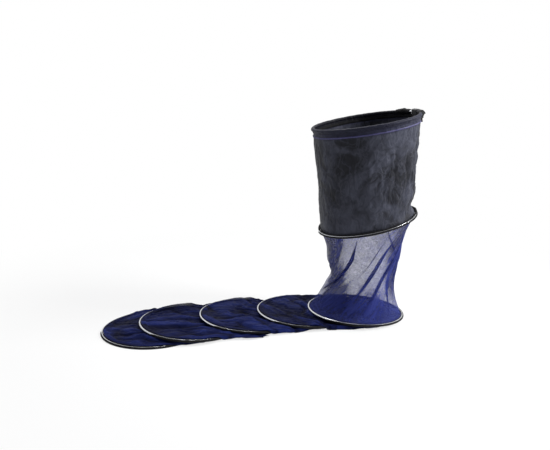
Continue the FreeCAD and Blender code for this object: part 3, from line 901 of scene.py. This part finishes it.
@dataclass
class StandingNetting:
    """The twisted tube of netting between the third and the second hoop.

    Attributes:
        twist: how far the top is turned against the bottom, in degrees.
        folds: the long folds that take up cloth at the waist.
        gathers: where the cloth is drawn together.
        bulges: where it stands out or is drawn in, in metres.
        layer: distance from layer to layer in a fold.
        buckle: height of the buckles between the folds.
        pleat: height of the fine pleats where the cloth is drawn together.
        beside: how far it is drawn together beside a fold.
        bending: how far from each hoop it would start to bend; it is not used.
    """

    folds: tuple[LongFold, ...] = (
        LongFold(-187, 0.055, 0.6, 0.36, -28), LongFold(-133, 0.05, 0.55, 0.34, -18),
        LongFold(-106, 0.055, 0.36, 0.32), LongFold(-60, 0.045, 0.5, 0.38, -50),
        LongFold(-215, 0.04, 0.38, 0.22, 10), LongFold(-160, 0.014, 0.75, 0.2, -10),
        LongFold(-30, 0.04, 0.5, 0.35, -20))
    gathers: tuple[Patch, ...] = (
        Patch(-162, 0.93, 22, 0.16, 1.3), Patch(-172, 0.7, 18, 0.26, 1.6),
        Patch(-160, 0.44, 20, 0.16, 1.8), Patch(-150, 0.24, 24, 0.16, 1.9),
        Patch(-50, 0.95, 26, 0.14, 1.2), Patch(-48, 0.7, 19, 0.2, 1.3),
        Patch(-46, 0.42, 15, 0.24, 1.2), Patch(-20, 0.5, 19, 0.4, 1.3),
        Patch(-88, 0.14, 30, 0.17, 0.95), Patch(-122, 0.14, 18, 0.12, 0.9),
        Patch(-138, 0.85, 26, 0.2, 0.35), Patch(-96, 0.35, 16, 0.2, 0.35),
        Patch(125, 0.5, 16, 0.5, 0.3), Patch(40, 0.7, 14, 0.3, 0.25))
    bulges: tuple[Patch, ...] = (
        Patch(-13, 0.6, 34, 0.3, 0.021), Patch(167, 0.66, 34, 0.13, 0.012),
        Patch(167, 0.42, 34, 0.1, -0.012), Patch(-120, 0.3, 30, 0.2, 0.006))
    twist: float = 95.0
    seed: int = 41
    cells: tuple[int, int] = (760, 110)
    inset: float = 0.0054
    rise: float = 0.0016
    cut_length: float = 0.5
    layer: float = 0.0032
    buckle: float = 0.007
    pleat: float = 0.0022
    beside: float = 0.75
    bending: float = 0.034
    marks: Marks = field(default_factory=dict, init=False)

    def place(self, u: np.ndarray, v: np.ndarray) -> np.ndarray:
        """Return the cloth's points for shares round and along the tube."""
        low, high = HOOPS[3], HOOPS[2]
        twist = math.radians(self.twist)
        x, y = 1 - v + v * math.cos(twist), v * math.sin(twist)
        share = np.hypot(x, y)
        spread, layer, beside = self.folded(u, v, share)
        angle = math.tau * spread + np.arctan2(y, x)
        noise = SoftNoise(self.seed)
        warp = noise(u * 9, v * 4, 9)
        buckle = noise(u * 7 + 0.6 * v, v * 2.2, 7) + 0.5 * noise(u * 19 + v, v * 4, 19)
        creases = np.abs(noise(u * 31 + 1.1 * v, v * 2.4 + warp + 5, 31))
        fine = noise(u * 80 + v * 3, v * 9 + warp, 80)
        degrees = np.degrees(angle)
        drawn, bulge = (sum(patch.weight(degrees, v) for patch in patches)
                        for patches in (self.gathers, self.bulges))
        streaks = np.abs(noise(u * 30, v * 1.6 + 0.5 * warp + 11, 30))
        furrow = eased(0.12 - streaks, 0.0, 0.12) * np.minimum(drawn, 1.0)
        self.marks["gather"] = drawn * (0.55 + 1.25 * streaks) + beside + 0.4 * np.abs(layer)
        # Painted shade: the inner layers of each fold and the furrows in the gathers are darkened.
        self.marks["depth"] = 0.6 * eased(-layer, 0.1, 0.9) + 0.22 * furrow
        pleats = self.pleat * noise(u * 120, v * 3 + 2, 120) * np.minimum(drawn, 1.0)
        move = self.buckle * (buckle - 0.6 * creases + 0.2 + 0.14 * fine) + self.layer * layer + pleats
        ring = (low.radius - self.inset) * share + (bulge + move) * np.sin(math.pi * v)
        ends = (low.middle + low.up * self.rise, high.middle - high.up * self.rise)
        return column(low, high, ends, v, angle, ring)

    def folded(self, u: np.ndarray, v: np.ndarray,
               share: np.ndarray) -> tuple[np.ndarray, np.ndarray, np.ndarray]:
        """Return where the cloth lies round the waist, and its layer in each fold.

        Args:
            u: share round the flat cloth.
            v: share along it.
            share: the waist's width against the hoops' at each point.

        Returns:
            The share round the waist, a layer from -1 to 1, and how much
            cloth a fold gathers beside it.
        """
        round_flat = math.tau * (HOOPS[3].radius - self.inset)
        spare = (1 / share - 1) / (1 / share.min() - 1)
        taken = [fold.cloth / round_flat * spare * np.exp(-((v - fold.height) / fold.reach) ** 2)
                 for fold in self.folds]
        total = 1 + np.sum(taken, axis=0)
        place, layer, beside = u.copy(), np.zeros_like(u), np.zeros_like(u)
        for fold, cloth in zip(self.folds, taken):
            away = (u - (fold.bottom + fold.lean * v) / 360.0 + 0.5) % 1.0 - 0.5
            width = np.maximum(cloth / (2 * total), 0.0028)
            place += cloth * (away - eased(away / width, -0.5, 0.5) + 0.5)
            near = np.exp(-(away / (1.4 * width)) ** 2) * eased(cloth, 0.0005, 0.006)
            layer -= np.tanh(away / (0.6 * width)) * near
            beside += self.beside * np.exp(-(away / 0.013) ** 2) * eased(cloth, 0.004, 0.03)
        return place, layer, beside

    def build(self, material: bpy.types.Material) -> bpy.types.Object:
        """Return the netting in place of its CAD node."""
        flat = (math.tau * (HOOPS[3].radius - self.inset), self.cut_length)
        piece = sewn("netting_2", self.cells, flat, self.place, material, marks=self.marks)
        bent_upright(piece)
        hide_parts("standing_net")
        return piece


@dataclass
class Sleeve:
    """The black coated sleeve between the second hoop and the mouth.

    Attributes:
        start: where round the hoops its own seam lies, in radians.
        rise: its height over the second hoop's plane.
        drop: how far below the mouth's plane it ends.
        waist: how far it is drawn in half way up.
        bulge: how far it stands out low down.
        ridge: height of the long ridge at its front.
        groove: how deep the groove to its left is.
        seam: share of the way up where the hem's stitches run.
        swell: how far the cloth stands out along them.
        turned_in: share of the way up where the facing ends.
        stitches: stitches all round.
        dents: where it is pressed in, in metres.
        bending: how far from each hoop it would start to bend; it is not used.
    """

    seed: int = 17
    cells: tuple[int, int] = (420, 100)
    start: float = 0.3
    inset: float = 0.0054
    rise: float = 0.0016
    drop: float = 0.0072
    waist: float = 0.005
    bulge: float = 0.0032
    wall: float = 0.0006
    cut_length: float = 0.43
    crumple: float = 0.0085
    ridge: float = 0.016
    ridge_angle: float = -108.0
    ridge_side: float = 26.0
    groove: float = 0.01
    seam: float = 0.952
    seam_width: float = 0.006
    swell: float = 0.0014
    turned_in: float = 0.997
    stitches: int = 300
    dents: tuple[Patch, ...] = (Patch(-13, 0.11, 46, 0.08, -0.013), Patch(-13, 0.3, 40, 0.12, -0.004),
                                Patch(-60, 0.08, 40, 0.07, -0.006))
    bending: float = 0.006
    marks: Marks = field(default_factory=dict, init=False)

    def place(self, u: np.ndarray, v: np.ndarray) -> np.ndarray:
        """Return the cloth's points for shares round and along the tube."""
        low, high = HOOPS[2], HOOPS[1]
        bottom, top = low.radius - self.inset, high.radius + 0.0005
        angle = math.tau * u + self.start
        degrees = np.degrees(angle)
        noise = SoftNoise(self.seed)
        warp = noise(u * 9, v * 3, 9)
        broad = noise(u * 8, v * 2.2 + 0.4 * warp, 8)
        creases = np.abs(noise(u * 23 + 0.4 * warp, v * 6 + 0.4 * warp + 7, 23))
        upright = np.abs(noise(u * 40 + 0.5 * warp, v * 3.0 + warp + 3, 40))
        fine = np.abs(noise(u * 66 + warp, v * 19 + warp, 66))
        right = away_from(degrees, self.ridge_angle)
        lively = 0.75 + 0.25 * np.sin(np.radians(right))
        move = 0.9 * broad + 1.1 * np.minimum(creases, 0.5) - 0.7 * upright - 0.4 * fine + 0.05
        move *= lively
        broken = eased(noise(u * 17, v * 7 + 3, 17), -0.1, 0.5) * lively
        # Painted shade: the hollows of the crumples and the crease lines are darkened.
        self.marks["depth"] = (0.42 * eased(-move, -0.15, 0.7)
                               + 0.75 * eased(0.07 - creases, 0.0, 0.07) * broken
                               + 0.45 * eased(0.06 - upright, 0.0, 0.06) * (1 - broken))
        self.marks["band"] = eased(v, self.seam - 0.03, self.seam)
        below = 1 - eased(v, 0.6, 0.95)
        calm = np.clip(np.sin(math.pi * np.clip(v, 0.0, 1.0)), 0, 1) ** 0.55
        ring = bottom + (top - bottom) * eased(v) - self.waist * 4 * v * (1 - v)
        ring += self.bulge * np.sin(math.pi * np.minimum(1.0, 2 * v)) ** 2
        ring += sum(patch.weight(degrees, v) for patch in self.dents) * eased(v, 0.0, 0.06)
        fading = np.maximum(0.0, 1 - np.abs(right) / self.ridge_side)
        groove = np.exp(-((right + 11.0 + 3.0 * warp) / 6.0) ** 2)
        ring += (self.ridge * fading - self.groove * groove) * below * eased(v, 0.0, 0.15)
        ring += self.crumple * move * calm
        ring += self.swell * np.exp(-((v - self.seam) / 0.008) ** 2)
        ends = (low.middle + low.up * self.rise, high.middle - high.up * self.drop)
        return column(low, high, ends, v, angle, ring)

    def build(self, material: bpy.types.Material) -> bpy.types.Object:
        """Return the sleeve in place of its CAD node."""
        flat = (math.tau * (HOOPS[1].radius - 0.006), self.cut_length)
        piece = sewn("sleeve_cloth", self.cells, flat, self.place, material, self.wall,
                     marks=self.marks)
        bent_upright(piece)
        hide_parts("sleeve")
        return piece

    def beside(self, u: np.ndarray, v: np.ndarray, off: np.ndarray) -> np.ndarray:
        """Return points that follow the sleeve at a distance outwards."""
        points = self.place(u, v)
        away = points - (HOOPS[2].middle + (HOOPS[1].middle - HOOPS[2].middle) * v[:, None])
        away[:, 2] = 0.0
        away /= np.linalg.norm(away, axis=1)[:, None]
        return points + away * off[:, None]

    def build_seam(self, material: bpy.types.Material) -> bpy.types.Object:
        """Return the line of stitches below the rim, sewn on the sleeve."""

        def law(u: np.ndarray, v: np.ndarray) -> np.ndarray:
            beads = np.abs(np.sin(math.pi * self.stitches * u)) ** 0.5
            across = self.seam + (v - 0.5) * self.seam_width / self.cut_length
            return self.beside(u, across, 0.0006 + 0.0011 * beads * np.sin(math.pi * v))

        cells = (self.stitches * 6, 4)
        return self.build_band("sleeve_stitching", cells, self.seam_width, law, material)

    def build_facing(self, material: bpy.types.Material) -> bpy.types.Object:
        """Return the hem's inner side, which is turned in and sewn along the line of stitches."""

        def law(u: np.ndarray, v: np.ndarray) -> np.ndarray:
            across = self.seam + (self.turned_in - self.seam) * v
            return self.beside(u, across, -0.0008 - 0.0012 * np.sin(math.pi * v))

        width = self.cut_length * (1 - self.seam)
        return self.build_band("hem_facing", (self.cells[0], 16), width, law, material)

    def build_band(self, name: str, cells: tuple[int, int], width: float, law: Law,
                   material: bpy.types.Material) -> bpy.types.Object:
        """Return a band of a given width that is sewn to the sleeve all round."""
        piece = sewn(name, cells, (math.tau * HOOPS[1].radius, width), law, material)
        bent_upright(piece)
        return piece


@dataclass
class BasePanel:
    """The flat panel that closes the bottom hoop."""

    seed: int = 5
    cells: tuple[int, int] = (240, 50)
    inset: float = 0.0054
    below: float = 0.0034
    fold: float = 0.0016

    def place(self, u: np.ndarray, v: np.ndarray) -> np.ndarray:
        """Return the panel's points for shares round and from the middle out."""
        hoop = HOOPS[7]
        noise = SoftNoise(self.seed)
        ring = (hoop.radius - self.inset) * np.maximum(v, 0.002)
        angle = math.tau * u
        x, y = ring * np.cos(angle), ring * np.sin(angle)
        folds = self.fold * (1 - np.abs(noise(x / 0.05, y / 0.03))) * np.sin(math.pi * v) ** 0.5
        return hoop.at(ring, angle, -self.below + 0.0018 * eased(v, 0.9, 1.0) + folds)

    def build(self, material: bpy.types.Material) -> bpy.types.Object:
        """Return the panel on the bottom hoop."""
        size = 2 * (HOOPS[7].radius - self.inset)
        piece = sewn("base_panel", self.cells, (size, size), self.place, material, flip=True)
        carried(piece, "hoop_7", "base_net")
        return piece


@dataclass
class Binding:
    """The sewn tape on a hoop's inner side. Along the hoop's front it goes on under the tube
    as a dark sheet that paints the shade and dark reflection of the tube's underside.

    Attributes:
        number: the hoop's number.
        cells: faces round the hoop and across the tape.
        low: the tape's lower edge round the tube, in degrees from its inner side.
        high: its upper edge.
        wrap: how much further it goes round below the tube along the front.
        front: the middle of that stretch round the hoop, in degrees.
        span: how far it reaches to each side.
        whole: how far to each side it is wrapped the whole way.
        roll: how far the wrapped stretch stands off below the tube's outer side.
        roll_turn: where round the tube that is, in degrees.
        roll_side: how far to each side of there it fades, in degrees.
        inner: distance of the tape from the tube's middle.
        wall: the tape's thickness.
        ragged: how far its edges wander, in radians.
    """

    number: int
    cells: tuple[int, int] = (480, 20)
    low: float = -52.0
    high: float = 68.0
    wrap: float = 187.0
    front: float = -66.0
    span: float = 94.0
    whole: float = 70.0
    roll: float = 0.0024
    roll_turn: float = -150.0
    roll_side: float = 42.0
    inner: float = 0.0043
    wall: float = 0.0006
    ragged: float = 0.06
    first_seed: int = 70

    def place(self, u: np.ndarray, v: np.ndarray) -> np.ndarray:
        """Return the tape's points for shares round the hoop and across the tape."""
        hoop = HOOPS[self.number]
        noise = SoftNoise(self.first_seed + self.number)
        edge = np.abs(v - 0.5) * 2
        # Painted shade: along the front the tape is carried on under the tube, darkening the tube's
        # underside.
        wrapped = eased(np.abs(away_from(360.0 * u, self.front)), self.span, self.whole)
        low = self.low - self.wrap * wrapped
        turn = np.radians(low + (self.high - low) * v)
        turn += self.ragged * noise(u * 60, v * 0 + 2.0, 60) * edge ** 2
        reach = self.inner + 0.0003 * np.abs(noise(u * 120, v * 2, 120)) + 0.0004 * edge ** 6
        rolled = np.exp(-((np.degrees(turn) - self.roll_turn) / self.roll_side) ** 2)
        reach += self.roll * wrapped * rolled
        points = hoop.at(hoop.radius - reach * np.cos(turn), math.tau * u, reach * np.sin(turn))
        points[:, 2] = np.maximum(points[:, 2], self.wall)
        return points

    def build(self, material: bpy.types.Material) -> bpy.types.Object:
        """Return the tape round its hoop."""
        flat = (math.tau * (HOOPS[self.number].radius - self.inner),
                math.radians(self.high - self.low) * self.inner)
        piece = sewn(f"binding_{self.number}", self.cells, flat, self.place, material, self.wall)
        return carried(piece, f"hoop_{self.number}", f"ring_{self.number}_tape")


@dataclass
class MouthHem:
    """The rolled cloth hem round the mouth hoop, open at the fitting.

    Attributes:
        reach: its distance from the tube's middle.
        tail: how far its two edges hang down.
        front: where it ends before the fitting, in radians.
        back: where it starts behind the fitting.
        edge: share of its width that each hanging edge takes.
        first: where round the tube it starts, in degrees.
        whole: how far round the tube it goes, in degrees.
        wall: its thickness.
    """

    reach: float = 0.0064
    tail: float = 0.006
    front: float = 0.122
    back: float = 0.215
    edge: float = 0.12
    first: float = -75.0
    whole: float = 330.0
    wall: float = 0.0007
    seed: int = 93
    cells: tuple[int, int] = (620, 34)
    marks: Marks = field(default_factory=dict, init=False)

    def place(self, u: np.ndarray, v: np.ndarray) -> np.ndarray:
        """Return the hem's points for shares round the hoop and across the hem."""
        hoop = HOOPS[1]
        noise = SoftNoise(self.seed)
        angle = self.back + (math.tau - self.back - self.front) * u
        ends = np.exp(-u / 0.012) + np.exp(-(1 - u) / 0.012)
        gather = np.abs(noise(u * 210, v * 2 + 5)) - 0.3
        lump = noise(u * 60, v * 1.5)
        low, high = self.edge, 1 - self.edge
        wrap = np.clip((v - low) / (high - low), 0.0, 1.0)
        turn = math.radians(self.first) + math.radians(self.whole) * wrap
        reach = self.reach + 0.0009 * gather + 0.0008 * lump + 0.0012 * ends * np.abs(lump)
        drop = np.where(v < low, (low - v) / low, np.where(v > high, (v - high) / low, 0.0))
        ring = hoop.radius + reach * np.cos(turn) + np.where(drop > 0, 0.0006 * lump, 0.0)
        # Painted shade: the whole hem is darkened, its inner side most.
        self.marks["depth"] = 0.4 + 0.6 * eased(v, 0.4, 0.6)
        self.marks["band"] = np.ones_like(v)
        return hoop.at(ring, angle, reach * np.sin(turn) - drop * self.tail)

    def build(self, material: bpy.types.Material) -> bpy.types.Object:
        """Return the hem on the mouth."""
        flat = (HOOPS[1].radius * (math.tau - self.front - self.back),
                self.reach * math.radians(self.whole) + 2 * self.tail)
        piece = sewn("mouth_hem_cloth", self.cells, flat, self.place, material, self.wall,
                     flip=True, marks=self.marks)
        return carried(piece, "mouth", "mouth_hem")


@dataclass
class Roll:
    """A rolled and gathered edge of black cloth that follows a hoop.

    Attributes:
        name: the piece's name.
        number: the hoop's number.
        body: the body that it rides on.
        away: the roll's middle, outwards from the hoop's line.
        lift: the same upwards.
        girth: the roll's own radius.
        swell: how much thicker it is at its fullest.
        full: where that is round the hoop, in degrees.
        span: how far round that swelling reaches, in degrees.
        start: where the roll starts round the hoop, in degrees.
        end: where it ends.
        tucks: gathers round the whole hoop.
        lumps: lumps round the whole hoop.
        around: faces round the whole hoop.
        across: faces round the roll.
    """

    name: str
    number: int
    body: str
    away: float
    lift: float
    girth: float
    swell: float = 0.0
    full: float = -13.0
    span: float = 14.0
    start: float = 0.0
    end: float = 360.0
    tucks: int = 260
    lumps: int = 46
    around: int = 900
    across: int = 14
    first_seed: int = 140

    def place(self, u: np.ndarray, v: np.ndarray) -> np.ndarray:
        """Return the roll's points for shares along it and round it."""
        hoop = HOOPS[self.number]
        noise = SoftNoise(self.first_seed + self.number)
        degrees = self.start + (self.end - self.start) * u
        swollen = np.exp(-(away_from(degrees, self.full) / self.span) ** 2)
        round_hoop = degrees / 360.0
        tuck = np.abs(noise(round_hoop * self.tucks, v * 3))
        lump = noise(round_hoop * self.lumps, v * 1.5 + 4)
        reach = self.girth * (1 + 0.5 * tuck + 0.35 * lump * (1 + swollen)) + self.swell * swollen
        if self.end - self.start < 360.0:
            reach = reach * np.sin(math.pi * np.clip(u, 0.0, 1.0)) ** 0.3 + 0.0002
        turn = math.tau * v
        ring = hoop.radius + self.away + self.swell * swollen * 0.5 + reach * np.cos(turn)
        return hoop.at(ring, np.radians(degrees), self.lift + reach * np.sin(turn))

    def build(self, material: bpy.types.Material) -> bpy.types.Object:
        """Return the roll on its hoop."""
        length = HOOPS[self.number].radius * math.radians(self.end - self.start)
        steps = max(40, round(self.around * (self.end - self.start) / 360.0))
        piece = sewn(self.name, (steps, self.across), (length, math.tau * self.girth), self.place,
                     material, flip=True)
        return carried(piece, self.body)


# Studio


@dataclass(frozen=True)
class Lamp:
    """A soft square lamp that looks at the object."""

    name: str
    place: Triple
    size: float
    power: float


@dataclass
class Studio:
    """Floor, background, lamps and camera.

    Attributes:
        eye: the camera's place.
        azimuth: its direction, in degrees.
        elevation: how far it looks down, in degrees.
        lens: its focal length in millimetres.
        sensor: its sensor's width in millimetres.
        target: what the lamps look at.
        sky: colour of the even light from all round.
        soft: strength of that light.
        half: half the floor's width.
        paper: the floor's colour.
        room: how bright the room in front of the object is, against the white behind it.
        near: how far from the middle the floor still shows all of its shadow.
        far: where it has faded into the white background.
        bright: share of plain white in the floor near the object.
    """

    eye: Triple = (-0.5654, -2.6204, 1.008)
    azimuth: float = -13.2
    elevation: float = 12.5
    lens: float = 44.75
    sensor: float = 36.0
    target: Triple = (0.1, 0.0, 0.3)
    sky: Colour = (0.97, 0.98, 1.0)
    soft: float = 0.31
    half: float = 30.0
    paper: Colour = (0.9, 0.9, 0.9)
    room: float = 0.16
    near: float = 0.6
    far: float = 1.9
    bright: float = 0.7
    lamps: tuple[Lamp, ...] = (Lamp("top", (0.3, 0.9, 2.6), 1.5, 46.0),
                               Lamp("right", (2.4, -1.0, 1.9), 0.9, 100.0),
                               Lamp("left", (-2.2, -1.6, 1.5), 1.6, 3.0))

    @staticmethod
    def stand(piece: bpy.types.Object, place: Triple, look: Vector) -> None:
        """Put a camera or a lamp in its place, looking along a direction."""
        turn = look.to_track_quat("-Z", "Y").to_matrix().to_4x4()
        piece.matrix_world = Matrix.Translation(place) @ turn

    def camera(self) -> None:
        """Set the camera where the picture was taken from."""
        data = bpy.data.cameras.new("camera")
        data.lens = self.lens
        data.sensor_width = self.sensor
        data.sensor_fit = "HORIZONTAL"
        data.clip_end = 2 * self.half
        piece = added("camera", data)
        a, e = math.radians(self.azimuth), math.radians(self.elevation)
        look = Vector((-math.sin(a) * math.cos(e), math.cos(a) * math.cos(e), -math.sin(e)))
        self.stand(piece, self.eye, look)
        bpy.context.scene.camera = piece

    def light(self, lamp: Lamp) -> None:
        """Add one lamp."""
        data = bpy.data.lights.new(lamp.name, "AREA")
        data.size = lamp.size
        data.energy = lamp.power
        self.stand(added(lamp.name, data), lamp.place, Vector(self.target) - Vector(lamp.place))

    def world(self) -> None:
        """Set a white background and an even soft light."""
        s = Shade("studio", world=True)
        bpy.context.scene.world = s.block
        light = s.add("ShaderNodeBackground", inputs={"Color": self.sky, "Strength": self.soft})
        glossy = s.add("ShaderNodeLightPath", out="Is Glossy Ray")
        way = s.add("ShaderNodeTexCoord", out="Generated")
        behind = s.part(way, "Y").ramp(-0.75, 0.1, self.room, 1.0)
        white = s.add("ShaderNodeBackground", inputs={
            "Color": WHITE, "Strength": 1.0 - glossy + glossy * behind})
        s.show(s.add("ShaderNodeMixShader", inputs={0: s.seen(), 1: light, 2: white}))

    def floor(self) -> None:
        """Lay a white floor that keeps the object's shadow."""
        piece = flat_piece("floor", (1, 1), self.half)
        s = Shade("floor_paper")
        paper = s.add("ShaderNodeBsdfDiffuse", inputs={"Color": self.paper})
        white = s.add("ShaderNodeEmission", inputs={"Color": WHITE, "Strength": 1.0})
        away = s.add("ShaderNodeVectorMath", {"operation": "LENGTH"}, {0: s.place()}, out="Value")
        plain = s.seen() * away.ramp(self.near, self.far, self.bright, 1.0)
        mixed = s.add("ShaderNodeMixShader", inputs={0: plain, 1: paper, 2: white})
        piece.data.materials.append(s.show(mixed))

    def build(self) -> None:
        """Set the whole studio."""
        bpy.context.scene.view_settings.view_transform = "Standard"
        self.camera()
        self.world()
        self.floor()
        for lamp in self.lamps:
            self.light(lamp)


# The whole keepnet


def dress(material: bpy.types.Material, *nodes: str) -> None:
    """Give the objects of CAD nodes a material."""
    for node in nodes:
        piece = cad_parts[node]
        piece.data.materials.clear()
        piece.data.materials.append(material)


def dress_rigid_pieces() -> None:
    """Give every rigid CAD node its material."""
    hoops = range(2, 8)
    dress(DrawnTube().make(), "mouth_tube", *(f"ring_{number}" for number in hoops))
    dress(PlainMetal("plated_steel", (0.62, 0.62, 0.64)).make(), "block_screws", "pivot_bolt",
          *(f"ring_{number}_pin" for number in hoops))
    brass = PlainMetal("blackened_brass", (0.05, 0.043, 0.034), 0.34).make()
    dress(brass, "knob_nut", "bank_stick_stud")
    dress(MouldedPlastic().make(), "ring_block", "lock_knob", "swivel_arm")


def sew_cloth() -> None:
    """Make every piece of cloth and tape."""
    tape = WovenTape().make()
    nylon = CoatedNylon().make()
    piping = WovenTape("rolled_cloth", (0.006, 0.006, 0.007), 0.0014).make()
    thread = SewingThread("blue_thread", (0.028, 0.026, 0.095)).make()
    closed = FineNetting("closed_netting", 0.99, 1.0, 0.02, (0.0034, 0.0055, 0.036),
                         (0.0108, 0.0178, 0.098), (0.0036, 0.0061, 0.04)).make()
    open_net = FineNetting("open_netting", 0.46, 0.95, 0.14, (0.009, 0.0125, 0.08),
                           (0.0285, 0.0375, 0.18), (0.047, 0.06, 0.25)).make()
    bindings = [Binding(2, wrap=158.0, front=-92.0, span=114.0, whole=88.0),
                Binding(3, wrap=172.0), Binding(4), Binding(5), Binding(6),
                Binding(7, front=-85.0, span=112.0, whole=92.0)]
    nets = [LyingNetting(7, 6, 61, front=0.002, slant=-35.0, least=0.0042, puff=0.012),
            LyingNetting(6, 5, 52, front=0.03, slant=-12.0, puff=0.015, thin=0.65, early=3.2),
            LyingNetting(5, 4, 47, front=0.01, slant=-30.0, puff=0.009, thin=0.65, early=0.6),
            LyingNetting(4, 3, 38, front=0.004, slant=-58.0, puff=0.005, thin=0.3, early=0.6)]
    rolls = [Roll("sleeve_piping", 2, "hoop_2", 0.0004, 0.0062, 0.0021, 0.0022, -13.0, 16.0),
             Roll("hem_cuff_front", 1, "mouth", 0.001, -0.004, 0.0092, 0.003, -14.0, 9.0, -30.0, -6.0),
             Roll("hem_cuff_back", 1, "mouth", 0.001, -0.001, 0.0092, 0.002, 18.0, 9.0, 11.0, 36.0)]
    parts = ((bindings, tape), (nets, closed), ([BasePanel()], closed), ([StandingNetting()], open_net),
             ([Sleeve(), MouthHem()], nylon), (rolls, piping))
    for group, material in parts:
        for part in group:
            piece = part.build(material)
            LOG.info("%s: %d faces", piece.name, len(piece.data.polygons))
    Sleeve().build_seam(thread)
    Sleeve().build_facing(piping)


def main() -> None:
    """Build every piece and note the size."""
    logging.basicConfig(level=logging.INFO, format="%(message)s")
    Studio().build()
    dress_rigid_pieces()
    sew_cloth()


if __name__ == "__main__":
    main()
